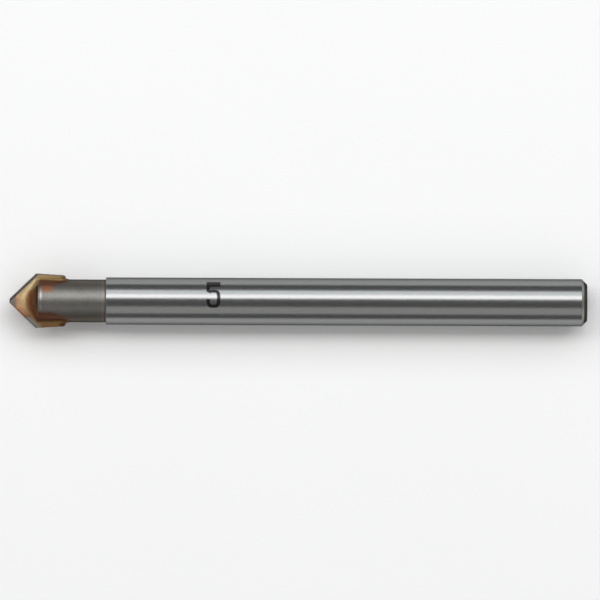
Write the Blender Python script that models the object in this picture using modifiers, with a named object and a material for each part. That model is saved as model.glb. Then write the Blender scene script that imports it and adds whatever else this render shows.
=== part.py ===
# Glass and tile drill bit with a 5 mm head: one turned steel bar, a carbide plate
# set in a slot across its nose, and the braze that holds the plate there.
#
# The bit lies along X with its point towards -X and the plate's broad faces up
# and down. Each mesh is drawn about the bit's axis, with x = 0 at the chisel
# edge, and each object is placed so that the shank lies on the floor, z = 0.

import math

import bmesh
import bpy
from mathutils import Matrix, Vector

MM = 0.001

# Whole bit
OVERALL_LENGTH = 53.0 * MM
CUTTING_DIAMETER = 5.0 * MM
HEAD_OVERHANG = 0.33 * MM      # how far each side of the head stands out past the shank
NECK_DEPTH = 0.205 * MM        # how far the neck is turned down below the shank

# Carbide plate
PLATE_THICKNESS = 1.5 * MM
POINT_ANGLE = math.radians(88.0)
LIP_RELIEF = math.radians(10.0)
SIDE_LENGTH = 2.75 * MM        # from the outer corners back to the plate's seat
BACK_TAPER = math.radians(3.4)
SIDE_RELIEF = math.radians(4.0)
REAR_CORNER = 0.12 * MM
LAND_ON_LIP = 1.4 * MM         # the small land ground at each outer corner
LAND_ON_SIDE = 0.5 * MM
LAND_DEPTH = 0.12 * MM

# Steel bar
NOSE_ANGLE = math.radians(110.0)
NOSE_SETBACK = 0.23 * MM       # from the outer corners back to the nose's rim
RIM_ROUND = 0.3 * MM
NECK_LENGTH = 3.73 * MM        # from the plate's seat back to the shoulder
SHOULDER_FILLET = 0.1 * MM
SHOULDER_EDGE = 0.04 * MM
END_CHAMFER = 0.5 * MM

# Brazed joint
BRAZE_FILM = 0.06 * MM         # between the plate and each wall of its slot
JOINT_CLEARANCE = 0.01 * MM    # left between the braze and what it wets
BEAD_EDGE = 0.05 * MM
NOSE_BEAD_WIDTH = 0.43 * MM
SIDE_BEAD_WIDTH = 0.24 * MM
NOSE_BEAD_HEIGHT = 0.35 * MM
RIM_BEAD_HEIGHT = 0.6 * MM
REAR_BEAD_HEIGHT = 0.2 * MM
BEAD_TAIL = 0.35 * MM          # how far the bead runs on behind the plate

# Fineness of the meshes
TURNED_SIDES = 32
ROUND_STEPS = 4
NOSE_STEPS = 10
CORNER_STEPS = 4
SIDE_STEPS = 6
TAIL_STEPS = 4
PLATE_LEVELS = 2
BEAD_LEVELS = 5
MERGE_DISTANCE = 0.0005 * MM
CUTTER_MARGIN = 1.0 * MM

# What follows from the sizes above
HALF_POINT = POINT_ANGLE / 2
HALF_NOSE = NOSE_ANGLE / 2
HALF_PLATE = PLATE_THICKNESS / 2
HEAD_RADIUS = CUTTING_DIAMETER / 2
SHANK_RADIUS = HEAD_RADIUS - HEAD_OVERHANG
NECK_RADIUS = SHANK_RADIUS - NECK_DEPTH
POINT_X = -HALF_PLATE * math.tan(LIP_RELIEF) / math.sin(HALF_POINT)
CORNER_X = POINT_X + HEAD_RADIUS / math.tan(HALF_POINT)
RIM_X = CORNER_X + NOSE_SETBACK
PLATE_REAR_X = CORNER_X + SIDE_LENGTH
SHOULDER_X = PLATE_REAR_X + NECK_LENGTH
CONE_X = RIM_X - NECK_RADIUS / math.tan(HALF_NOSE)
BIT_PLACE = Vector((-OVERALL_LENGTH / 2, 0.0, SHANK_RADIUS))


def clear_scene():
    for obj in list(bpy.data.objects):
        bpy.data.objects.remove(obj)


def new_collection(name):
    collection = bpy.data.collections.new(name)
    bpy.context.scene.collection.children.link(collection)
    return collection


def new_object(name, mesh, collection):
    obj = bpy.data.objects.new(name, mesh)
    obj.location = BIT_PLACE
    collection.objects.link(obj)
    return obj


def new_cutter(name, mesh, collection):
    obj = new_object(name, mesh, collection)
    obj.hide_render = True
    obj.display_type = 'WIRE'
    return obj


def new_material(name, colour, metallic, roughness):
    material = bpy.data.materials.new(name)
    material.use_nodes = True
    shader = material.node_tree.nodes["Principled BSDF"]
    shader.inputs["Base Color"].default_value = (*colour, 1.0)
    shader.inputs["Metallic"].default_value = metallic
    shader.inputs["Roughness"].default_value = roughness
    material.diffuse_color = (*colour, 1.0)
    return material


def cut(obj, cutter):
    modifier = obj.modifiers.new("cut_" + cutter.name, 'BOOLEAN')
    modifier.operation = 'DIFFERENCE'
    modifier.solver = 'EXACT'
    modifier.object = cutter


def rounded(centre_x, centre_radius, radius, start, end):
    """Points of a profile's arc, as (x, radius), with angles from the outward normal."""
    points = []
    for step in range(ROUND_STEPS + 1):
        angle = start + (end - start) * step / ROUND_STEPS
        points.append((centre_x - radius * math.sin(angle), centre_radius + radius * math.cos(angle)))
    return points


def bar_profile(grow):
    """The turned bar's outer line from nose to rear end, as (x, radius), grown outwards."""
    neck = NECK_RADIUS + grow
    shank = SHANK_RADIUS + grow
    cone_x = CONE_X - grow / math.sin(HALF_NOSE)
    rim_x = cone_x + neck / math.tan(HALF_NOSE)
    rim_round = RIM_ROUND + grow
    rim_centre_x = rim_x + rim_round * math.tan(HALF_NOSE / 2)
    shoulder_x = SHOULDER_X - grow
    fillet = min(SHOULDER_FILLET, NECK_DEPTH - SHOULDER_EDGE)
    end_x = OVERALL_LENGTH + grow

    points = [(cone_x, 0.0)]
    points += rounded(rim_centre_x, neck - rim_round, rim_round, HALF_NOSE, 0.0)
    points += rounded(shoulder_x - fillet, neck + fillet, fillet, math.pi, 1.5 * math.pi)
    points += [(shoulder_x, shank - SHOULDER_EDGE), (shoulder_x + SHOULDER_EDGE, shank)]
    points += [(end_x - END_CHAMFER, shank), (end_x, shank - END_CHAMFER), (end_x, 0.0)]
    return points


def turned_mesh(name, profile):
    """Turn a profile about X. Flats face up and down and touch the true circle."""
    half_flat = math.tan(math.pi / TURNED_SIDES)
    outline = bpy.data.meshes.new(name + "_profile")
    vertices = [(x, radius * half_flat, radius) for x, radius in profile]
    edges = [(index, index + 1) for index in range(len(profile) - 1)]
    outline.from_pydata(vertices, edges, [])

    turning = bpy.data.objects.new(name + "_turning", outline)
    bpy.context.scene.collection.objects.link(turning)
    screw = turning.modifiers.new("turn", 'SCREW')
    screw.axis = 'X'
    screw.steps = TURNED_SIDES
    screw.render_steps = TURNED_SIDES
    screw.use_merge_vertices = True
    screw.merge_threshold = MERGE_DISTANCE

    graph = bpy.context.evaluated_depsgraph_get()
    mesh = bpy.data.meshes.new_from_object(turning.evaluated_get(graph))
    mesh.name = name
    bpy.data.objects.remove(turning)
    bpy.data.meshes.remove(outline)
    mesh.shade_smooth()
    mesh.set_sharp_from_angle(angle=math.radians(25.0))
    return mesh


def box_mesh(name, low, high):
    bm = bmesh.new()
    bmesh.ops.create_cube(bm, size=1.0)
    size = high - low
    bmesh.ops.transform(bm, matrix=Matrix.Diagonal((*size, 1.0)), verts=bm.verts)
    bmesh.ops.translate(bm, vec=(low + high) / 2, verts=bm.verts)
    mesh = bpy.data.meshes.new(name)
    bm.to_mesh(mesh)
    bm.free()
    return mesh


def slot_mesh(name, grow):
    """The saw's way through the nose: the plate and its film of braze on each side."""
    half_slot = HALF_PLATE + BRAZE_FILM + grow
    reach = SHANK_RADIUS + CUTTER_MARGIN
    low = Vector((CONE_X - CUTTER_MARGIN, -reach, -half_slot))
    high = Vector((PLATE_REAR_X + BRAZE_FILM + grow, reach, half_slot))
    return box_mesh(name, low, high)


def grind(bm, point, normal):
    """Take off all that stands outside one ground plane, and close the solid again."""
    everything = bm.verts[:] + bm.edges[:] + bm.faces[:]
    bmesh.ops.bisect_plane(bm, geom=everything, plane_co=point, plane_no=normal, clear_outer=True)
    rim = [edge for edge in bm.edges if edge.is_boundary]
    bmesh.ops.edgeloop_fill(bm, edges=rim)


def plane_through(first, second, third):
    normal = (second - first).cross(third - first).normalized()
    return first, normal


def plate_planes():
    """The planes ground on one half of the plate, each as a point on it and its normal.

    The bit cuts clockwise seen from its shank, so the lip on the +Y side leads
    with its lower edge, and its flank falls away upwards.
    """
    point = Vector((POINT_X, 0.0, -HALF_PLATE))
    corner = Vector((CORNER_X, HEAD_RADIUS, -HALF_PLATE))
    cutting_corner = corner + Vector((0.0, 0.0, LAND_DEPTH))
    flank = Vector((-math.sin(HALF_POINT), math.cos(HALF_POINT), math.tan(LIP_RELIEF)))
    side = Vector((math.sin(BACK_TAPER), math.cos(BACK_TAPER), math.tan(SIDE_RELIEF)))

    rear_half_width = HEAD_RADIUS - SIDE_LENGTH * math.tan(BACK_TAPER)
    rear = Vector((PLATE_REAR_X, rear_half_width - REAR_CORNER, 0.0))
    rear_corner = Vector((1.0, 1.0, 0.0))

    towards_point = Vector((-math.cos(HALF_POINT), -math.sin(HALF_POINT), 0.0))
    towards_rear = Vector((math.cos(BACK_TAPER), -math.sin(BACK_TAPER), 0.0))
    land_start = corner + towards_point * LAND_ON_LIP
    land_end = corner + towards_rear * LAND_ON_SIDE
    land_point, land = plane_through(land_start, land_end, cutting_corner)
    if land.z > 0:
        land.negate()

    return [
        (point, flank.normalized()),
        (cutting_corner, side.normalized()),
        (rear, rear_corner.normalized()),
        (land_point, land),
    ]


def plate_mesh(name, grow):
    """A sintered blank ground on planes, the same on both halves after half a turn."""
    low = Vector((POINT_X, -HEAD_RADIUS, -HALF_PLATE))
    high = Vector((PLATE_REAR_X, HEAD_RADIUS, HALF_PLATE))
    margin = Vector((grow, grow, grow))
    blank = box_mesh(name, low - margin, high + margin)

    bm = bmesh.new()
    bm.from_mesh(blank)
    half_turn = Matrix.Rotation(math.pi, 3, 'X')
    for point, normal in plate_planes():
        for turn in (Matrix.Identity(3), half_turn):
            turned_normal = turn @ normal
            grind(bm, turn @ point + turned_normal * grow, turned_normal)
    bm.to_mesh(blank)
    bm.free()
    return blank


def fillet_curve(share):
    """How far a hollow fillet stands off the wall, from 1 at its foot to 0 at its top."""
    return 1.0 - math.sqrt(1.0 - (1.0 - share) ** 2)


def between(start, end, share):
    return start + (end - start) * share


def eased(start, end, share):
    """Between two values, level at both ends."""
    return between(start, end, 0.5 - 0.5 * math.cos(math.pi * share))


def bead_travel():
    """Stops round one side of the joint: 0 to 1 over the nose, 1 to 2 round its rim,
    2 to 3 along the plate's side and 3 to 4 behind the plate."""
    stops = [step / NOSE_STEPS for step in range(NOSE_STEPS)]
    stops += [1.0 + step / CORNER_STEPS for step in range(CORNER_STEPS)]
    stops += [2.0 + step / SIDE_STEPS for step in range(SIDE_STEPS)]
    stops += [3.0 + step / TAIL_STEPS for step in range(TAIL_STEPS + 1)]
    return stops


def cheek_point(travel, side, z):
    """A place on the steel's outline at height z, and the way out from it."""
    face_z = max(abs(z), HALF_PLATE)
    nose_y = math.sqrt(NECK_RADIUS ** 2 - face_z ** 2) * min(travel, 1.0)
    nose_radius = math.hypot(nose_y, face_z)
    nose_x = CONE_X + nose_radius / math.tan(HALF_NOSE)
    nose_lean = math.atan2(1.0, nose_y / nose_radius / math.tan(HALF_NOSE))
    if travel < 1.0:
        lean = nose_lean
        place = Vector((nose_x, side * nose_y, z))
    else:
        lean = nose_lean * max(2.0 - travel, 0.0)
        neck_x = between(RIM_X, PLATE_REAR_X, min(max(travel - 2.0, 0.0), 1.0))
        neck_x += BEAD_TAIL * max(travel - 3.0, 0.0)
        place = Vector((neck_x, side * math.sqrt(NECK_RADIUS ** 2 - z ** 2), z))
    return place, Vector((-math.sin(lean), side * math.cos(lean), 0.0))


def bead_width(travel):
    wing = HEAD_RADIUS - SIDE_LENGTH * math.tan(BACK_TAPER) - NECK_RADIUS
    side_width = min(SIDE_BEAD_WIDTH, wing - REAR_CORNER)
    if travel < 1.0:
        return eased(NOSE_BEAD_WIDTH, side_width, travel)
    if travel < 3.0:
        return side_width
    return between(BEAD_EDGE, side_width, fillet_curve(travel - 3.0))


def bead_height(travel):
    if travel < 1.0:
        return eased(NOSE_BEAD_HEIGHT, RIM_BEAD_HEIGHT, travel)
    if travel < 2.0:
        return RIM_BEAD_HEIGHT
    if travel < 3.0:
        return eased(RIM_BEAD_HEIGHT, REAR_BEAD_HEIGHT, travel - 2.0)
    return between(REAR_BEAD_HEIGHT, BEAD_EDGE, travel - 3.0)


def collar_ring(level):
    """One ring of the braze's skin. Level 0 is the plate's middle, 1 and -1 are its
    faces, and 2 and -2 are the edges where the beads end on the steel."""
    stops = [(-1.0, travel) for travel in reversed(bead_travel()[1:])]
    stops += [(1.0, travel) for travel in bead_travel()]
    climb = max(abs(level) - 1.0, 0.0)
    ring = []
    for side, travel in stops:
        from_middle = HALF_PLATE * min(abs(level), 1.0) + bead_height(travel) * climb
        place, outwards = cheek_point(travel, side, math.copysign(from_middle, level))
        ring.append(place + outwards * between(BEAD_EDGE, bead_width(travel), fillet_curve(climb)))
    return ring


def collar_mesh(name):
    """The braze before the steel and the plate are taken out of it: rings lofted from
    the lower bead's edge to the upper bead's, with both ends closed inside the cheeks."""
    upper = [step / PLATE_LEVELS for step in range(1, PLATE_LEVELS)]
    upper += [1.0 + step / BEAD_LEVELS for step in range(BEAD_LEVELS + 1)]
    levels = [-level for level in reversed(upper)] + [0.0] + upper
    bm = bmesh.new()
    rings = [[bm.verts.new(place) for place in collar_ring(level)] for level in levels]
    for below, above in zip(rings, rings[1:]):
        for index in range(len(below)):
            bm.faces.new((below[index - 1], below[index], above[index], above[index - 1]))

    heart_x = between(RIM_X, PLATE_REAR_X, 0.5)
    heart_z = HALF_PLATE + BRAZE_FILM + REAR_BEAD_HEIGHT
    for ring, z in ((rings[0], -heart_z), (rings[-1], heart_z)):
        heart = bm.verts.new((heart_x, 0.0, z))
        for index in range(len(ring)):
            bm.faces.new((ring[index - 1], ring[index], heart))
    bmesh.ops.recalc_face_normals(bm, faces=bm.faces)

    mesh = bpy.data.meshes.new(name)
    bm.to_mesh(mesh)
    bm.free()
    mesh.shade_smooth()
    mesh.set_sharp_from_angle(angle=math.radians(40.0))
    return mesh


def build_shank(parts, cutters):
    shank = new_object("shank", turned_mesh("shank", bar_profile(0.0)), parts)
    shank.data.materials.append(new_material("ground_steel", (0.52, 0.52, 0.51), 1.0, 0.3))
    slot = new_cutter("slot_saw", slot_mesh("slot_saw", 0.0), cutters)
    cut(shank, slot)


def build_carbide_tip(parts):
    tip = new_object("carbide_tip", plate_mesh("carbide_tip", 0.0), parts)
    tip.data.materials.append(new_material("sintered_carbide", (0.35, 0.34, 0.32), 1.0, 0.4))


def build_braze(parts, cutters):
    braze = new_object("braze", collar_mesh("braze"), parts)
    braze.data.materials.append(new_material("copper_braze", (0.55, 0.36, 0.18), 1.0, 0.4))

    steel_mesh = turned_mesh("steel_room", bar_profile(JOINT_CLEARANCE))
    steel_room = new_cutter("steel_room", steel_mesh, cutters)
    slot_room = new_cutter("slot_room", slot_mesh("slot_room", -JOINT_CLEARANCE), cutters)
    plate_room = new_cutter("plate_room", plate_mesh("plate_room", JOINT_CLEARANCE), cutters)
    cut(steel_room, slot_room)
    cut(braze, steel_room)
    cut(braze, plate_room)


def main():
    clear_scene()
    parts = new_collection("glass_and_tile_drill_bit")
    cutters = new_collection("cutters")
    build_shank(parts, cutters)
    build_carbide_tip(parts)
    build_braze(parts, cutters)


main()
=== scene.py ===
import math

import bmesh
import bpy
from mathutils import Matrix, Vector, noise


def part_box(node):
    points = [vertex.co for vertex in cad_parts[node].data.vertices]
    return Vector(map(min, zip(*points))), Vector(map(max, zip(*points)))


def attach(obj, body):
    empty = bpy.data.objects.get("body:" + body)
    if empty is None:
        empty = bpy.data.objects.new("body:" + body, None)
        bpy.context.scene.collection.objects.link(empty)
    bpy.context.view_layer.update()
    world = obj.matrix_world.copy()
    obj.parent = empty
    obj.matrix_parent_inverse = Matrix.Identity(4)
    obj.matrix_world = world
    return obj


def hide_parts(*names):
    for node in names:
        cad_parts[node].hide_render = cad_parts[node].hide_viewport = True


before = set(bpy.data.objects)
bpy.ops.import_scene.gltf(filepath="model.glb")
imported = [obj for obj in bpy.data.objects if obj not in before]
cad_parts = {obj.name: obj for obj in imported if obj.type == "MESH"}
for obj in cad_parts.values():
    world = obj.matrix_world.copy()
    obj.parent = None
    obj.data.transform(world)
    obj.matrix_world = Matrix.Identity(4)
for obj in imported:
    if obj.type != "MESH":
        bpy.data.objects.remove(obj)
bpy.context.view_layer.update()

print("frame loaded:", sorted(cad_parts))

# Shapes are drawn in millimetres about the bit's axis, with x = 0 at the chisel edge.
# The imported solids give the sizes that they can, and each piece's dictionary the rest.
mm = 0.001
plateLow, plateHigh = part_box("carbide_tip")
shankLow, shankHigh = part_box("shank")
tipPlace = Vector((plateLow.x, 0.0, (shankLow.z + shankHigh.z) / 2))
shankRadius = (shankHigh.z - shankLow.z) / 2 / mm
bitLength = (shankHigh.x - plateLow.x) / mm
plateHalf = (plateHigh.z - plateLow.z) / 2 / mm
plateRearX = (plateHigh.x - plateLow.x) / mm


class Wire:
    # one output of a node, ready for sums such as 1 - mask
    def __init__(self, finish, socket):
        self.finish = finish
        self.socket = socket

    def sum(self, operation, first, second=0.0):
        return self.finish.add("ShaderNodeMath", {"operation": operation}, {0: first, 1: second})

    def __add__(self, other):
        return self.sum("ADD", self, other)

    def __radd__(self, other):
        return self.sum("ADD", other, self)

    def __sub__(self, other):
        return self.sum("SUBTRACT", self, other)

    def __rsub__(self, other):
        return self.sum("SUBTRACT", other, self)

    def __mul__(self, other):
        return self.sum("MULTIPLY", self, other)

    def __rmul__(self, other):
        return self.sum("MULTIPLY", other, self)

    def __truediv__(self, other):
        return self.sum("DIVIDE", self, other)

    def __abs__(self):
        return self.sum("ABSOLUTE", self)

    def root(self):
        return self.sum("SQRT", self)


class Finish:
    # one material's nodes, with places read in millimetres from the chisel edge
    def __init__(self, name, metallic=1.0, edgeTint=1.0):
        self.material = bpy.data.materials.new(name)
        self.material.use_nodes = True
        self.tree = self.material.node_tree
        self.shader = self.tree.nodes["Principled BSDF"]
        self.shader.inputs["Metallic"].default_value = metallic
        self.shader.inputs["Specular Tint"].default_value = (edgeTint, edgeTint, edgeTint, 1.0)
        coords = self.add("ShaderNodeTexCoord", {"output": "Object"})
        self.place = self.add("ShaderNodeVectorMath", {"operation": "MULTIPLY_ADD"},
                              {0: coords, 1: (1 / mm,) * 3, 2: tuple(-tipPlace / mm)})
        self.along, self.across, self.up = [self.axis(letter, self.place) for letter in "XYZ"]

    def add(self, kind, settings=None, sockets=None):
        # settings go on first, then the sockets take numbers, colours or wires
        settings = dict(settings or {})
        node = self.tree.nodes.new(kind)
        output = settings.pop("output", 0)
        stops = settings.pop("stops", None)
        for name, value in settings.items():
            setattr(node, name, value)
        if stops:
            ramp = node.color_ramp
            while len(ramp.elements) < len(stops):
                ramp.elements.new(1.0)
            for element, (position, colour) in zip(ramp.elements, stops):
                element.position = position
                element.color = (*colour, 1.0)
        for name, value in (sockets or {}).items():
            socket = node.inputs[name]
            if isinstance(value, Wire):
                self.tree.links.new(value.socket, socket)
            elif socket.type == "RGBA" and len(value) == 3:
                socket.default_value = (*value, 1.0)
            else:
                socket.default_value = value
        return Wire(self, node.outputs[output])

    def axis(self, letter, vector):
        return self.add("ShaderNodeSeparateXYZ", {"output": letter}, {0: vector})

    def fade(self, value, start, end):
        # 0 at start and 1 at end, with soft shoulders
        return self.add("ShaderNodeMapRange", {"interpolation_type": "SMOOTHSTEP"},
                        {0: value, 1: start, 2: end, 3: 0.0, 4: 1.0})

    def band(self, value, low, high, soft):
        # 1 between low and high, fading out over twice the soft width
        return self.fade(value, low - soft, low + soft) * (1 - self.fade(value, high - soft, high + soft))

    def stretched(self, scale):
        return self.add("ShaderNodeVectorMath", {"operation": "MULTIPLY"}, {0: self.place, 1: scale})

    def cloud(self, scale, stretch=(1.0, 1.0, 1.0), detail=3.0, rough=0.5):
        # noise from about 0 to 1, its scale in cells a millimetre
        return self.add("ShaderNodeTexNoise", {}, {"Vector": self.stretched(stretch), "Scale": scale,
                                                   "Detail": detail, "Roughness": rough})

    def ramp(self, value, stops):
        return self.add("ShaderNodeValToRGB", {"stops": stops}, {0: value})

    def blend(self, under, over, share):
        return self.add("ShaderNodeMix", {"data_type": "RGBA", "output": 2}, {0: share, 6: under, 7: over})

    def shade(self, colour, light):
        # the colour times a grey wire
        return self.add("ShaderNodeMix", {"data_type": "RGBA", "blend_type": "MULTIPLY", "output": 2},
                        {0: 1.0, 6: colour, 7: light})

    def bump(self, height, depth, under=None):
        # depth is in millimetres, and under is another bump that this one adds to
        sockets = {"Height": height, "Distance": depth * mm, "Strength": 0.5}
        if under is not None:
            sockets["Normal"] = under
        return self.add("ShaderNodeBump", {}, sockets)

    def apply(self, colour, roughness, normal=None):
        wires = {"Base Color": colour, "Roughness": roughness, "Normal": normal}
        for name, value in wires.items():
            if isinstance(value, Wire):
                self.tree.links.new(value.socket, self.shader.inputs[name])
            elif value is not None:
                self.shader.inputs[name].default_value = value
        return self.material


def addObject(name, data):
    thing = bpy.data.objects.new(name, data)
    bpy.context.scene.collection.objects.link(thing)
    return thing


def newPiece(name, mesh, node):
    mesh.transform(Matrix.Translation(tipPlace) @ Matrix.Scale(mm, 4))
    piece = addObject(name, mesh)
    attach(piece, "root")
    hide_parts(node)
    print(name, "has", len(mesh.polygons), "faces")


def between(start, end, share):
    return start + (end - start) * share


def eased(start, end, share):
    return between(start, end, 0.5 - 0.5 * math.cos(math.pi * share))


def spaced(start, end, count):
    # evenly spaced places from one end to the other, without the ends
    return [between(start, end, (step + 1) / (count + 1)) for step in range(count)]


def arcPoints(centreX, centreRadius, radius, start, end, steps):
    # angles run from the outward normal, and points are (x, radius)
    points = []
    for step in range(steps + 1):
        angle = between(start, end, step / steps)
        points.append((centreX - radius * math.sin(angle), centreRadius + radius * math.cos(angle)))
    return points


def bridge(bm, rings):
    # faces from each ring to the next, where a ring may also be one point
    for front, back in zip(rings, rings[1:]):
        for side in range(max(len(front), len(back))):
            if len(front) == 1:
                bm.faces.new((front[0], back[side], back[side - 1]))
            elif len(back) == 1:
                bm.faces.new((front[side - 1], front[side], back[0]))
            else:
                bm.faces.new((front[side - 1], front[side], back[side], back[side - 1]))


def meshFrom(bm, name):
    mesh = bpy.data.meshes.new(name)
    bm.to_mesh(mesh)
    bm.free()
    return mesh


def latheMesh(name, profile, sides):
    bm = bmesh.new()
    angles = [2 * math.pi * side / sides for side in range(sides)]
    rings = []
    for x, radius in profile:
        ring = angles if radius > 0 else angles[:1]
        rings.append([bm.verts.new((x, radius * math.sin(a), radius * math.cos(a))) for a in ring])
    bridge(bm, rings)
    bmesh.ops.recalc_face_normals(bm, faces=bm.faces)
    return meshFrom(bm, name)


def boxMesh(name, low, high):
    bm = bmesh.new()
    bmesh.ops.create_cube(bm, size=1.0)
    bmesh.ops.transform(bm, matrix=Matrix.Diagonal((*(high - low), 1.0)), verts=bm.verts)
    bmesh.ops.translate(bm, vec=(low + high) / 2, verts=bm.verts)
    return meshFrom(bm, name)


def carve(mesh, cutters):
    # the mesh less its cutters, whose materials stay on the faces they leave
    holder = addObject("holder", mesh)
    helpers = [holder]
    for cutter in cutters:
        helper = addObject("helper", cutter)
        helpers.append(helper)
        modifier = holder.modifiers.new("carve", "BOOLEAN")
        modifier.operation = "DIFFERENCE"
        modifier.solver = "EXACT"
        modifier.material_mode = "TRANSFER"
        modifier.object = helper
    graph = bpy.context.evaluated_depsgraph_get()
    carved = bpy.data.meshes.new_from_object(holder.evaluated_get(graph))
    carved.name = mesh.name
    for helper in helpers:
        bpy.data.objects.remove(helper)
    return carved


# the carbide plate: ground lips with relief, tapered sides, and braze film burnt onto its faces
plate = {
    "headRadius": 2.5, "halfPoint": math.radians(44.0), "relief": math.radians(10.0),
    "backTaper": math.radians(3.4), "sideRelief": math.radians(4.0), "rearCorner": 0.12,
    "landOnLip": 1.4, "landOnSide": 0.5, "landDepth": 0.12,
    "softEdge": 0.018, "sharpAngle": math.radians(60.0),
    # the film from the middle of the face down to the lower lip, by share of the way
    "film": [(0.0, (0.49, 0.33, 0.168)), (0.23, (0.57, 0.365, 0.195)),
             (0.46, (0.45, 0.26, 0.138)), (0.72, (0.28, 0.15, 0.078))],
    "filmStart": 0.2, "filmReach": 1.6,
    "paleGoldHighlight": (0.66, 0.50, 0.28), "pink": (0.45, 0.228, 0.128), "pinkGrey": (0.27, 0.18, 0.132),
    "blush": (0.55, 0.295, 0.17), "redBrown": (0.31, 0.125, 0.06),
    "upperWing": (0.195, 0.13, 0.061), "lowerWing": (0.26, 0.147, 0.064), "nearNeckShade": (0.15, 0.10, 0.041),
    "wingRear": (0.09, 0.048, 0.02), "ground": (0.19, 0.177, 0.16), "land": (0.30, 0.28, 0.252),
    "flank": (0.062, 0.057, 0.048),
}

pointX = -plateHalf * math.tan(plate["relief"]) / math.sin(plate["halfPoint"])
cornerX = pointX + plate["headRadius"] / math.tan(plate["halfPoint"])


def grindingPlanes():
    # one half's flank, side, rear corner and land, each as a point and its outward normal
    corner = Vector((cornerX, plate["headRadius"], -plateHalf))
    cuttingCorner = corner + Vector((0.0, 0.0, plate["landDepth"]))
    point = Vector((pointX, 0.0, -plateHalf))
    halfPoint, taper = plate["halfPoint"], plate["backTaper"]
    flank = Vector((-math.sin(halfPoint), math.cos(halfPoint), math.tan(plate["relief"])))
    side = Vector((math.sin(taper), math.cos(taper), math.tan(plate["sideRelief"])))
    rearY = plate["headRadius"] - (plateRearX - cornerX) * math.tan(taper) - plate["rearCorner"]
    rearPoint = Vector((plateRearX, rearY, 0.0))
    landStart = corner - Vector((math.cos(halfPoint), math.sin(halfPoint), 0.0)) * plate["landOnLip"]
    landEnd = corner + Vector((math.cos(taper), -math.sin(taper), 0.0)) * plate["landOnSide"]
    land = (landEnd - landStart).cross(cuttingCorner - landStart)
    if land.z > 0:
        land.negate()
    rear = Vector((1.0, 1.0, 0.0))
    planes = [(point, flank), (cuttingCorner, side), (rearPoint, rear), (landStart, land)]
    return [(place, normal.normalized()) for place, normal in planes]


def plateMesh():
    low = Vector((pointX, -plate["headRadius"], -plateHalf))
    high = Vector((plateRearX, plate["headRadius"], plateHalf))
    mesh = boxMesh("carbidePlate", low, high)
    bm = bmesh.new()
    bm.from_mesh(mesh)
    for point, normal in grindingPlanes():
        for turn in (Matrix.Identity(3), Matrix.Rotation(math.pi, 3, "X")):  # both halves are alike
            everything = bm.verts[:] + bm.edges[:] + bm.faces[:]
            bmesh.ops.bisect_plane(bm, geom=everything, plane_co=turn @ point, plane_no=turn @ normal,
                                   clear_outer=True)
            bmesh.ops.edgeloop_fill(bm, edges=[edge for edge in bm.edges if edge.is_boundary])
    bmesh.ops.bevel(bm, geom=bm.edges[:], offset=plate["softEdge"], segments=2, profile=0.5,
                    affect="EDGES", clamp_overlap=True)
    bm.to_mesh(mesh)
    bm.free()
    mesh.shade_smooth()
    mesh.set_sharp_from_angle(angle=plate["sharpAngle"])
    mesh.materials.append(plateFinish())
    return mesh


def aheadOfNose(finish):
    # how far a place on the plate's face lies in front of the coned steel
    coneRadius = (finish.across * finish.across + plateHalf ** 2).root()
    return coneX + coneRadius / math.tan(bar["halfNose"]) - finish.along


def shadedTowardsCorner(finish, colour, shadeDepth):
    # painted shade: the colour darkened towards the upper corner
    return finish.shade(colour, 1 - shadeDepth * finish.fade(finish.across, 0.0, 1.8))


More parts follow.
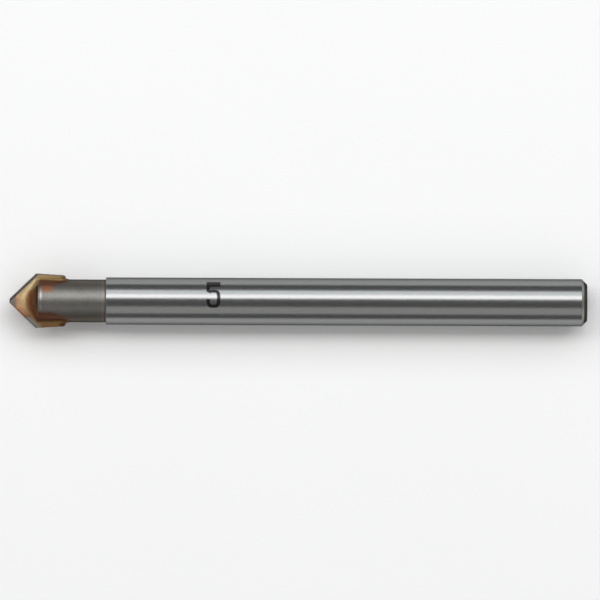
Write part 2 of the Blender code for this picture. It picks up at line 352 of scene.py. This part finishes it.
def plateFinish():
    film = Finish("brazeFilmOnCarbide", edgeTint=0.6)
    loose = film.cloud(2.4, detail=5.0, rough=0.65) - 0.5
    mottle = film.cloud(6.0, detail=5.0, rough=0.7)
    grain = film.cloud(30.0, detail=2.0)
    grinding = film.cloud(14.0, (1.0, 1.0, 0.08), 3.0, 0.6)
    blotches = 0.6 + 0.8 * mottle

    # how far a place lies inside the slanted edges, and which half of a broad face it is on
    away = abs(film.across)
    inside = (film.along - pointX) * math.sin(plate["halfPoint"]) - away * math.cos(plate["halfPoint"])
    upper = film.fade(film.across, -0.6, 0.5)
    facing = film.add("ShaderNodeNewGeometry", {"output": "True Normal"})
    level = abs(film.axis("Z", facing))
    cuttingSide = (1 - film.fade(film.across * film.up, -0.25, 0.0)) * film.fade(level, 0.4, 0.6)

    # gold down to copper over the face, a painted highlight of pale gold in front of the nose on the upper
    # half, and pink along the cutting lip
    downFace = (0 - film.across - plate["filmStart"]) / plate["filmReach"]
    colour = film.shade(film.ramp(downFace, plate["film"]), 0.55 + 0.9 * mottle)
    crest = aheadOfNose(film) + 0.1 * film.across * film.across + loose * 0.2
    noseHighlight = (1 - film.fade(crest, 0.6, 0.85)) * (1 - film.fade(away, 1.75, 2.2)) * upper
    colour = film.blend(colour, film.shade(plate["paleGoldHighlight"], 0.8 + 0.4 * mottle), noseHighlight)
    blush = (1 - film.fade(inside + loose * 0.2, 0.32, 0.55)) * (1 - film.fade(away, 1.0, 1.6))
    colour = film.blend(colour, film.shade(plate["blush"], blotches), blush * cuttingSide * 0.6)
    # painted shade, darker towards the upper corner
    colour = shadedTowardsCorner(film, colour, 0.5)

    # worn towards the chisel edge, first pink and then to bare carbide
    wornPink = 1 - film.fade(film.along + away * 0.35 + loose * 0.4, 0.74, 0.98)
    colour = film.blend(colour, film.shade(plate["pink"], blotches), wornPink * 0.9)
    bare = 1 - film.fade(film.along + loose * 0.3, 0.52, 0.68)
    colour = film.blend(colour, plate["pinkGrey"], bare)
    colour = film.blend(colour, plate["ground"], 1 - film.fade(film.along + loose * 0.3, 0.36, 0.5))

    # the wings beside the neck are darker near the joint, at their rear and on the lower side; the upper
    # and lower wing colours are painted lit and shaded copies of one film, and the darkening near the joint
    # is painted shade
    wing = film.fade(film.along + loose * 0.3, 2.3, 2.7)
    wingColour = film.blend(plate["lowerWing"], plate["upperWing"], upper)
    colour = film.blend(colour, film.shade(wingColour, blotches), wing)
    nearNeckShade = (1 - film.fade(away + loose * 0.1, 2.04, 2.16)) * wing
    colour = film.blend(colour, plate["nearNeckShade"], nearNeckShade * upper)
    rear = film.fade(film.along - 0.17 * upper + loose * 0.4, 4.4, 4.85)
    colour = film.blend(colour, plate["wingRear"], rear * 0.9)
    corner = film.band(film.along, 2.5, 2.95, 0.15) * film.fade(away, 1.9, 2.1) * cuttingSide
    colour = film.blend(colour, film.shade(plate["blush"], blotches), corner * 0.3)
    lip = (1 - film.fade(inside + loose * 0.1, 0.1, 0.25)) * film.fade(film.along, 0.5, 0.75) * cuttingSide
    colour = film.blend(colour, plate["redBrown"], lip * 0.9)

    # a patch ground clean behind each outer corner of the cutting lips, in bare carbide painted lighter
    # than at the tip as painted light against the neck's shade
    clean = film.fade(away + loose * 0.08, 1.46, 1.58) * cuttingSide
    clean = clean * (1 - film.fade(film.along - away + loose * 0.1, 0.4, 0.56))
    colour = film.blend(colour, plate["land"], clean)

    # ground faces: the corner lands and the flanks show bare carbide; the lands take the patch's
    # painted-light colour, and the flanks' grey is darkened further as painted shade
    land = film.band(level, 0.5, 0.9985, 0.0008)
    flank = film.fade(0 - film.axis("X", facing), 0.5, 0.6) * (1 - film.fade(level, 0.3, 0.4))
    colour = film.blend(colour, plate["land"], land)
    colour = film.blend(colour, film.shade(plate["flank"], 0.7 + 0.6 * grinding), flank)

    # painted shade: a dark line in the flanks' colour runs along both lips
    lipEdge = (1 - film.fade(inside, 0.06, 0.13)) * (1 - cuttingSide) * film.fade(film.along, 0.5, 0.6)
    cuttingEdge = (1 - film.fade(inside, 0.04, 0.13)) * film.fade(away, 1.4, 1.5) * cuttingSide
    colour = film.blend(colour, plate["flank"], (lipEdge + cuttingEdge) * 0.7)

    roughness = 0.46 + 0.25 * (mottle - 0.5) + 0.08 * bare - 0.1 * noseHighlight
    normal = film.bump(mottle + grain * 0.3, 0.015)
    normal = film.bump(grinding * flank, 0.004, normal)
    return film.apply(colour, roughness, normal)


# the steel bar: coned nose, turned neck, ground shank, and the slot that holds the plate
bar = {
    "halfNose": math.radians(55.0), "rimSetback": 0.23, "rimRound": 0.3,
    "neckDepth": 0.205, "neckLength": 3.73, "shoulderFillet": 0.1, "shoulderRound": 0.04,
    "chamfer": 0.5, "chamferRound": 0.07, "jointFilm": 0.06,
    "sides": 192, "sharpAngle": math.radians(28.0),
    "steel": (0.285, 0.287, 0.288), "steelRough": 0.22,
    "neckSteel": (0.195, 0.187, 0.173), "neckRough": 0.44,
    "copperStain": (0.32, 0.14, 0.08), "brownStainAndShade": (0.155, 0.068, 0.042),
    "sideShadeColour": (0.085, 0.072, 0.058), "coneFilm": (0.24, 0.106, 0.053), "coneShade": (0.127, 0.074, 0.045),
    "rimShadow": (0.04, 0.024, 0.01), "rubbedAndHighlight": (0.42, 0.41, 0.395), "endShade": (0.07, 0.062, 0.055),
}

neckRadius = shankRadius - bar["neckDepth"]
rimX = cornerX + bar["rimSetback"]
coneX = rimX - neckRadius / math.tan(bar["halfNose"])
shoulderX = plateRearX + bar["neckLength"]
chamferX = bitLength - bar["chamfer"]

# the plain figure etched on the shank, its sizes along the bit and round it
mark = {
    "startX": 18.09, "bottom": -0.60, "width": 1.28, "height": 2.67, "stroke": 0.31, "topStroke": 0.62,
    # the bowl's share of the height, its arc in degrees, and 1.0 for a round one or less for a squarer one
    "bowlShare": 0.60, "bowlStart": 140.0, "bowlSweep": 319.0, "bowlSteps": 48, "squareness": 0.62,
    # how deep it is etched, and the longest straight piece of its strokes
    "depth": 0.012, "piece": 0.06, "ink": (0.007, 0.006, 0.005),
}


def barProfile():
    # points (x, radius) from the cone's tip to the middle of the end face
    rimRound, fillet = bar["rimRound"], bar["shoulderFillet"]
    soft, edge = bar["chamferRound"], bar["shoulderRound"]
    neckStart = rimX + rimRound * math.tan(bar["halfNose"] / 2)
    reach = soft * math.tan(math.radians(22.5))
    endRadius = shankRadius - bar["chamfer"] - reach

    points = [(coneX, 0.0)]
    coneEnd = neckRadius - rimRound * (1 - math.cos(bar["halfNose"]))
    points += [(coneX + radius / math.tan(bar["halfNose"]), radius) for radius in spaced(0.0, coneEnd, 17)]
    points += arcPoints(neckStart, neckRadius - rimRound, rimRound, bar["halfNose"], 0.0, 10)
    points += [(x, neckRadius) for x in spaced(neckStart, shoulderX - fillet, 6)]
    points += arcPoints(shoulderX - fillet, neckRadius + fillet, fillet, math.pi, 1.5 * math.pi, 8)
    points += arcPoints(shoulderX + edge, shankRadius - edge, edge, math.pi / 2, 0.0, 5)
    points += [(x, shankRadius) for x in spaced(shoulderX + edge, chamferX, 9)]
    points += arcPoints(chamferX - reach, shankRadius - soft, soft, 0.0, -math.pi / 4, 6)
    points += arcPoints(bitLength - soft, endRadius, soft, -math.pi / 4, -math.pi / 2, 6)
    return points + [(bitLength, radius) for radius in (1.2, 0.8, 0.4, 0.0)]


def figureStrokes():
    # the figure's bar, stem and bowl, each as a centre line and a width
    stroke, topStroke = mark["stroke"], mark["topStroke"]
    wide, tall = mark["width"] - stroke, mark["height"] - stroke
    half = stroke / 2
    bowlTop = tall * mark["bowlShare"]
    barHeight = tall + half - topStroke / 2
    topBar = [(wide + half, barHeight), (-half, barHeight)]
    stem = [(0.0, tall + half), (0.0, bowlTop - half * 0.6)]
    bowl = []
    for step in range(mark["bowlSteps"] + 1):
        angle = math.radians(mark["bowlStart"] - mark["bowlSweep"] * step / mark["bowlSteps"])
        parts = (math.cos(angle), math.sin(angle))
        u, v = [math.copysign(abs(part) ** mark["squareness"], part) for part in parts]
        bowl.append((wide / 2 + u * wide / 2, bowlTop / 2 + v * bowlTop / 2))
    return (topBar, topStroke), (stem, stroke), (bowl, stroke)


def strokeCutter(path, stroke, depth):
    # a bar that follows the path round the shank, from depth inside it to just outside
    path = [Vector(point) for point in path]
    fine = [path[0]]
    for start, end in zip(path, path[1:]):
        pieces = max(1, round((end - start).length / mark["piece"]))
        fine += [start.lerp(end, (piece + 1) / pieces) for piece in range(pieces)]
    bm = bmesh.new()
    sections = []
    foot = mark["stroke"] / 2
    for index, point in enumerate(fine):
        before = fine[max(index - 1, 0)]
        after = fine[min(index + 1, len(fine) - 1)]
        heading = (after - before).normalized()
        sideways = Vector((-heading.y, heading.x)) * stroke / 2
        section = []
        for stand, shares in ((-depth, (-1.0, 0.0, 1.0)), (0.05, (1.0, 0.0, -1.0))):
            for share in shares:
                u, v = point + sideways * share
                turn = (mark["bottom"] + foot + v) / shankRadius
                far = shankRadius + stand
                place = (mark["startX"] + foot + u, far * math.sin(turn), far * math.cos(turn))
                section.append(bm.verts.new(place))
        sections.append(section)
    bridge(bm, sections)
    bm.faces.new(sections[0])
    bm.faces.new(sections[-1])
    bmesh.ops.recalc_face_normals(bm, faces=bm.faces)
    return meshFrom(bm, "stroke")


def roundNormals(mesh):
    # the turned faces shade as a true circle, also where the figure is cut into them
    mesh.shade_smooth()
    mesh.set_sharp_from_angle(angle=bar["sharpAngle"])
    normals = [Vector((0.0, 0.0, 0.0))] * len(mesh.loops)  # zero keeps a corner's own normal
    for polygon in mesh.polygons:
        outward = Vector((0.0, polygon.center.y, polygon.center.z))
        turned = outward.length > 1.0 and abs(polygon.normal.x) < 0.02
        if not turned or polygon.normal.dot(outward.normalized()) < 0.999:
            continue
        for loop in polygon.loop_indices:
            place = mesh.vertices[mesh.loops[loop].vertex_index].co
            normals[loop] = Vector((0.0, place.y, place.z)).normalized()
    mesh.normals_split_custom_set(normals)


def barMesh():
    mesh = latheMesh("steelBar", barProfile(), bar["sides"])
    mesh.materials.append(steelFinish())
    # a slot sawn in from the front, right across the bar, and then the figure
    slotHalf, slotEnd = plateHalf + bar["jointFilm"], plateRearX + bar["jointFilm"]
    slot = boxMesh("slot", Vector((-1.0, -4.0, -slotHalf)), Vector((slotEnd, 4.0, slotHalf)))
    slot.materials.append(mesh.materials[0])
    etched = markFinish()
    strokes = []
    for index, (path, stroke) in enumerate(figureStrokes()):
        strokes.append(strokeCutter(path, stroke, mark["depth"] + 0.0005 * index))  # no two floors meet
        strokes[-1].materials.append(etched)
    mesh = carve(mesh, [slot] + strokes)
    roundNormals(mesh)
    return mesh


def steelFinish():
    steel = Finish("groundSteel", edgeTint=0.3)
    neckShare = 1 - steel.fade(steel.along, shoulderX - 0.05, shoulderX + 0.02)
    grit = steel.cloud(7.0, detail=5.0, rough=0.7)
    patches = steel.cloud(0.9, detail=3.0)
    streaks = steel.cloud(8.0, (0.12, 1.6, 1.6), 4.0, 0.7)
    dashes = steel.cloud(16.0, (0.16, 1.3, 1.3), 3.0, 0.7)
    rings = steel.cloud(6.0, (3.0, 0.2, 0.2), 4.0, 0.7)

    shankColour = steel.shade(bar["steel"], 0.72 + 0.30 * streaks + 0.26 * dashes)
    neckColour = steel.shade(bar["neckSteel"], 0.46 + 0.66 * grit + 0.36 * patches)
    colour = steel.blend(shankColour, neckColour, neckShare)

    # painted shade: the neck is darkened on its sides, most on the lower one
    neckSideShade = 0.35 * steel.fade(steel.across, 1.1, 1.7) + 0.5 * (1 - steel.fade(steel.across, -1.6, -0.6))
    neckSideShade = neckSideShade + 0.35 * steel.band(abs(steel.across), 1.3, 1.66, 0.12)
    colour = steel.blend(colour, steel.shade(bar["sideShadeColour"], 0.7 + 0.6 * grit), neckSideShade * neckShare)

    # braze drawn along the neck from the joint, with a copper patch on its upper side
    wander = steel.cloud(2.6, detail=5.0, rough=0.7)
    loose = (wander - 0.5) * 1.1
    lower = 1 - steel.fade(steel.across, -0.3, 0.3)
    taper = 1 - steel.fade(steel.along, 3.7, 5.7)
    climb = 0.95 + 0.5 * taper + 0.22 * lower
    fringe = 1 - steel.fade(abs(steel.up) + loose * 0.35, climb - 0.1, climb + 0.12)
    fringe = fringe * (1 - steel.fade(steel.along + loose, 4.6, 5.8 + 0.4 * lower)) * neckShare
    stain = steel.shade(bar["brownStainAndShade"], 0.55 + 0.9 * grit)
    colour = steel.blend(colour, stain, fringe * 0.92)

    patch = steel.band(steel.along + loose * 0.5, 3.0, 4.0, 0.25) * steel.fade(steel.up, 0.0, 0.3)
    patch = patch * steel.band(steel.across + loose * 0.25, 0.82, 1.36, 0.1)
    colour = steel.blend(colour, steel.shade(bar["copperStain"], 0.6 + 0.8 * grit), patch)

    # the rim's edge is brightened, partly real wear and partly a painted highlight, and turned lines before
    # the shoulder are lightened as a painted highlight from the shoulder's fillet
    rimWearAndHighlight = steel.band(steel.along, rimX + 0.2, rimX + 0.36, 0.05) * (1 - fringe) * (1 - patch)
    rimWearAndHighlight = rimWearAndHighlight * steel.fade(steel.across, -1.3, 0.3)
    witnessLineHighlight = steel.band(steel.along, shoulderX - 0.38, shoulderX - 0.23, 0.03)
    witnessLineHighlight = witnessLineHighlight + 0.5 * steel.band(steel.along, shoulderX - 0.76, shoulderX - 0.64, 0.04)
    colour = steel.blend(colour, bar["rubbedAndHighlight"], (rimWearAndHighlight * 0.8 + witnessLineHighlight * 0.18) * (0.5 + 0.5 * wander))
    # painted shade: a brown line in the corner at the shoulder's foot
    shoulderFootShade = steel.band(steel.along, shoulderX - 0.16, shoulderX - 0.05, 0.04)
    colour = steel.blend(colour, bar["brownStainAndShade"], shoulderFootShade * 0.4)

    # the nose in front of the rim is copper-brown, darkened towards the rim by painted shade, and in
    # painted shadow at the rim's foot
    cone = 1 - steel.fade(steel.along, rimX - 0.06, rimX + 0.05)
    nearRim = steel.fade(steel.along, rimX - 0.5, rimX - 0.15) * steel.fade(steel.across, -1.6, 0.0)
    coneColour = steel.blend(bar["coneFilm"], bar["coneShade"], nearRim)
    rimFoot = steel.band(steel.along, rimX - 0.13, rimX + 0.02, 0.04) * steel.fade(steel.across, -1.5, 0.3)
    colour = steel.blend(colour, steel.shade(coneColour, 0.5 + 1.0 * wander), cone)
    colour = steel.blend(colour, bar["rimShadow"], rimFoot * 0.8)

    # painted shade: the rear of the chamfer and the end face are darkened
    farEndShade = steel.fade(steel.along, chamferX + 0.14, chamferX + 0.26)
    colour = steel.blend(colour, bar["endShade"], farEndShade)

    neckRougher = bar["neckRough"] - bar["steelRough"] + 0.2 * (grit - 0.5)
    roughness = bar["steelRough"] + 0.12 * (streaks - 0.5) + neckRougher * neckShare
    roughness = roughness + 0.1 * cone + 0.2 * farEndShade + 0.08 * patch - 0.1 * rimWearAndHighlight
    ground = steel.bump(streaks + dashes, 0.0015)
    turned = steel.bump((grit + rings) * neckShare, 0.006, ground)
    return steel.apply(colour, roughness, turned)


def markFinish():
    ink = Finish("etchedFigure", metallic=0.0)
    ink.shader.inputs["Specular IOR Level"].default_value = 0.4
    speckle = ink.cloud(16.0, detail=3.0, rough=0.7)
    colour = ink.shade(mark["ink"], 0.6 + 0.9 * speckle)
    return ink.apply(colour, 0.16 + 0.12 * speckle, ink.bump(speckle, 0.0008))


# the braze: a filled seat under the plate, with a fillet that climbs the steel on both faces
braze = {
    "noseWidth": 0.43, "sideWidth": 0.21, "tailWidth": 0.02,
    "noseHeight": 0.35, "rimHeight": 0.6, "rearHeight": 0.2, "tailHeight": 0.05,
    # how far it runs behind the plate, sinks into the steel, and how far off the middle its ends close
    "tail": 0.35, "sink": 0.012, "heart": 1.0, "unevenness": 0.14, "ripple": 0.012,
    "noseSteps": 56, "cornerSteps": 12, "sideSteps": 40, "tailSteps": 12, "levels": 14,
    "sharpAngle": math.radians(50.0),
    "paleGoldHighlight": (0.51, 0.39, 0.215), "tan": (0.32, 0.17, 0.085), "darkGold": (0.265, 0.155, 0.06),
    "brown": (0.235, 0.10, 0.047), "besidePlate": (0.21, 0.135, 0.056),
    "upperRed": (0.16, 0.072, 0.042), "lowerRed": (0.135, 0.056, 0.033), "burntTail": (0.11, 0.05, 0.026),
}


def collarStops():
    # 0 to 1 over the nose, 1 to 2 round its rim, 2 to 3 along the plate, 3 to 4 behind it
    stops = []
    for start, steps in enumerate((braze["noseSteps"], braze["cornerSteps"], braze["sideSteps"])):
        stops += [start + step / steps for step in range(steps)]
    return stops + [3.0 + step / braze["tailSteps"] for step in range(braze["tailSteps"] + 1)]


def cheekPoint(travel, side, z):
    # a place on the steel's outline at height z, and the way out from it
    slope = math.tan(bar["halfNose"])
    faceZ = max(abs(z), plateHalf)
    noseY = math.sqrt(max(neckRadius ** 2 - faceZ ** 2, 0.0)) * min(travel, 1.0)
    noseRadius = math.hypot(noseY, faceZ)
    lean = math.atan2(1.0, noseY / noseRadius / slope)
    if travel < 1.0:
        place = Vector((coneX + noseRadius / slope, side * noseY, z))
    else:
        lean *= max(2.0 - travel, 0.0)
        neckX = between(rimX, plateRearX, min(max(travel - 2.0, 0.0), 1.0))
        neckX += braze["tail"] * max(travel - 3.0, 0.0)
        place = Vector((neckX, side * math.sqrt(neckRadius ** 2 - z ** 2), z))
    return place, Vector((-math.sin(lean), side * math.cos(lean), 0.0))


def beadWidth(travel):
    if travel < 1.0:
        return eased(braze["noseWidth"], braze["sideWidth"], travel)
    if travel < 3.0:
        return braze["sideWidth"]
    return between(braze["tailWidth"], braze["sideWidth"], 1.0 - math.sqrt(1.0 - (4.0 - travel) ** 2))


def beadHeight(travel):
    if travel < 1.0:
        return eased(braze["noseHeight"], braze["rimHeight"], travel)
    if travel < 2.0:
        return braze["rimHeight"]
    if travel < 3.0:
        return eased(braze["rimHeight"], braze["rearHeight"], travel - 2.0)
    return between(braze["rearHeight"], braze["tailHeight"], travel - 3.0)


def uneven(place, scale, seed):
    return noise.noise(place * scale + Vector((seed, 0.0, 0.0)))


def collarRing(face, level):
    # one face's ring: level -1 to 0 lies inside the plate's thickness, and 0 to 1 climbs the fillet
    stops = [(-1.0, travel) for travel in reversed(collarStops()[1:])]
    stops += [(1.0, travel) for travel in collarStops()]
    quarter = max(level, 0.0) * math.pi / 2
    ring = []
    for side, travel in stops:
        guide, outwards = cheekPoint(travel, side, face * plateHalf)
        width = beadWidth(travel) * (1.0 + braze["unevenness"] * uneven(guide, 1.1, 3.0 + face))
        height = beadHeight(travel) * (1.0 + 1.6 * braze["unevenness"] * uneven(guide, 1.7, 9.0 + face))
        z = face * (plateHalf * min(1.0 + level, 1.0) + height * (1.0 - math.cos(quarter)))
        place, outwards = cheekPoint(travel, side, z)
        stand = between(-braze["sink"], width, 1.0 - math.sin(quarter))
        ripple = braze["ripple"] * uneven(place, 5.0, 5.0) * math.sin(2 * quarter)
        ring.append(place + outwards * (stand + ripple))
    return ring


def collarMesh():
    # rings from the lower fillet through the seat to the upper one, closed by points inside the steel
    rises = [step / braze["levels"] for step in range(braze["levels"] + 1)]
    levels = [(-1, rise) for rise in reversed(rises)] + [(1, -0.999)] + [(1, rise) for rise in rises]
    bm = bmesh.new()
    rings = [[bm.verts.new(place) for place in collarRing(face, level)] for face, level in levels]
    middleX = between(rimX, plateRearX, 0.5)
    low, high = [bm.verts.new((middleX, 0.0, side * braze["heart"])) for side in (-1, 1)]
    bridge(bm, [[low]] + rings + [[high]])
    bmesh.ops.recalc_face_normals(bm, faces=bm.faces)
    mesh = meshFrom(bm, "brazeCollar")
    mesh.shade_smooth()
    mesh.set_sharp_from_angle(angle=braze["sharpAngle"])
    mesh.materials.append(brazeFinish())
    return mesh


def brazeFinish():
    metal = Finish("copperBraze", edgeTint=0.6)
    wander = metal.cloud(2.6, detail=5.0, rough=0.7)
    mottle = metal.cloud(7.0, detail=5.0, rough=0.7)
    loose = wander - 0.5
    upper = metal.fade(metal.across, -0.6, 0.5)

    # in front of the nose: pale at the foot of the bead, where a painted highlight makes the upper side
    # pale gold over the lower side's tan and painted shade darkens it towards the upper corner, then dark
    # gold, then brown on the steel
    upperCorner = metal.fade(metal.across, 0.8, 1.35)
    ahead = aheadOfNose(metal) + loose * 0.12 + 0.38 * upperCorner
    brown = metal.shade(braze["brown"], 0.5 + 1.0 * wander)
    nose = metal.blend(brown, braze["darkGold"], metal.fade(ahead, 0.03, 0.12))
    foot = metal.blend(braze["tan"], braze["paleGoldHighlight"], metal.fade(metal.across, -1.0, 0.1))
    nose = metal.blend(nose, shadedTowardsCorner(metal, foot, 0.25), metal.fade(ahead, 0.24, 0.34))

    # beside the neck: gold at the plate, red-brown where it climbs the steel
    climbed = metal.fade(abs(metal.up) + loose * 0.1, 0.78, 0.9)
    red = metal.blend(braze["lowerRed"], braze["upperRed"], upper)
    side = metal.blend(braze["besidePlate"], metal.shade(red, 0.55 + 0.9 * mottle), climbed)
    beside = metal.fade(metal.along + loose * 0.2 - 0.25 * upperCorner, rimX - 0.35, rimX + 0.05)
    colour = metal.blend(metal.shade(nose, 0.7 + 0.6 * mottle), side, beside)
    burnt = metal.fade(metal.along + loose * 0.4, plateRearX - 0.45, plateRearX - 0.05)
    colour = metal.blend(colour, braze["burntTail"], burnt * 0.8)
    return metal.apply(colour, 0.55 + 0.25 * (mottle - 0.5), metal.bump(mottle, 0.015))


# the studio: a pale floor, long soft panels over the bit, and a small one off each end
studio = {
    "floorSize": 3.0, "floorColour": (0.95, 0.95, 0.95), "world": 0.18, "distance": 0.5, "panelLength": 1.1,
    # from and to in degrees off the vertical towards +Y, strength, colour
    "panels": {
        "keyPanel": (15.0, 33.0, 3.3, (1.0, 0.995, 0.99)),
        "sidePanel": (33.0, 56.0, 1.7, (0.96, 1.0, 1.015)),
        "fillPanel": (-62.0, -26.0, 0.52, (1.0, 0.985, 0.96)),
    },
    "endLean": 48.0, "endSize": 0.3, "endStrength": 0.8,
}

# the camera's lens and sensor, the width it frames, all in millimetres, and the pixels across that width
# centrePixel is where the bit's middle falls in the frame, and slope the bit's tilt there in degrees
view = {"lens": 800.0, "sensor": 36.0, "frameWidth": 55.05, "framePixels": 600,
        "centrePixel": (298.25, 301.7), "slope": 0.22}


def floorFinish():
    paper = Finish("paleFloor", metallic=0.0)
    grain = paper.cloud(0.05, detail=2.0)
    return paper.apply(paper.shade(studio["floorColour"], 0.99 + 0.02 * grain), 0.9)


def addFloor():
    half = studio["floorSize"] / 2
    corners = [(-half, -half, 0), (half, -half, 0), (half, half, 0), (-half, half, 0)]
    mesh = bpy.data.meshes.new("floor")
    mesh.from_pydata(corners, [], [(0, 1, 2, 3)])
    mesh.materials.append(floorFinish())
    floor = addObject("floor", mesh)


def addPanel(name, direction, long, wide, strength, colour, turn):
    # a soft panel facing the bit, its strength the brightness that a mirror would show
    lamp = bpy.data.lights.new(name, "AREA")
    lamp.shape = "RECTANGLE"
    lamp.size = long
    lamp.size_y = wide
    lamp.color = colour
    lamp.energy = strength * math.pi * long * wide
    panel = addObject(name, lamp)
    panel.location = direction * studio["distance"]
    panel.rotation_euler = turn


def addPanels():
    for name, (start, end, strength, colour) in studio["panels"].items():
        lean = math.radians((start + end) / 2)
        wide = 2 * studio["distance"] * math.tan(math.radians(end - start) / 2)
        direction = Vector((0.0, math.sin(lean), math.cos(lean)))
        addPanel(name, direction, studio["panelLength"], wide, strength, colour, (-lean, 0.0, 0.0))
    lean, size, white = math.radians(studio["endLean"]), studio["endSize"], (1.0, 1.0, 1.0)
    for name, side in (("pointPanel", -1), ("rearPanel", 1)):
        direction = Vector((side * math.sin(lean), 0.0, math.cos(lean)))
        addPanel(name, direction, size, size, studio["endStrength"], white, (0.0, side * lean, 0.0))


def addWorld():
    world = bpy.data.worlds.new("studio")
    world.use_nodes = True
    background = world.node_tree.nodes["Background"]
    background.inputs["Color"].default_value = (1.0, 1.0, 1.0, 1.0)
    background.inputs["Strength"].default_value = studio["world"]
    bpy.context.scene.world = world


def addCamera():
    camera = addObject("camera", bpy.data.cameras.new("camera"))
    camera.data.lens = view["lens"]
    camera.data.sensor_width = view["sensor"]
    camera.data.clip_start = 0.01
    camera.data.clip_end = 10.0
    distance = view["frameWidth"] * mm * view["lens"] / view["sensor"]
    pixel = view["frameWidth"] * mm / view["framePixels"]
    column, row = view["centrePixel"]
    aside = (view["framePixels"] / 2 - column) * pixel
    above = (row - view["framePixels"] / 2) * pixel
    turn = math.radians(view["slope"])
    camera.location = (aside * math.cos(turn) - above * math.sin(turn),
                       aside * math.sin(turn) + above * math.cos(turn), tipPlace.z + distance)
    camera.rotation_euler = (0.0, 0.0, turn)
    bpy.context.scene.camera = camera


newPiece("steelBar", barMesh(), "shank")
newPiece("carbidePlate", plateMesh(), "carbide_tip")
newPiece("brazeCollar", collarMesh(), "braze")

addFloor()
addPanels()
addWorld()
addCamera()
bpy.context.scene.view_settings.view_transform = "Standard"
print("floor, light and camera made")
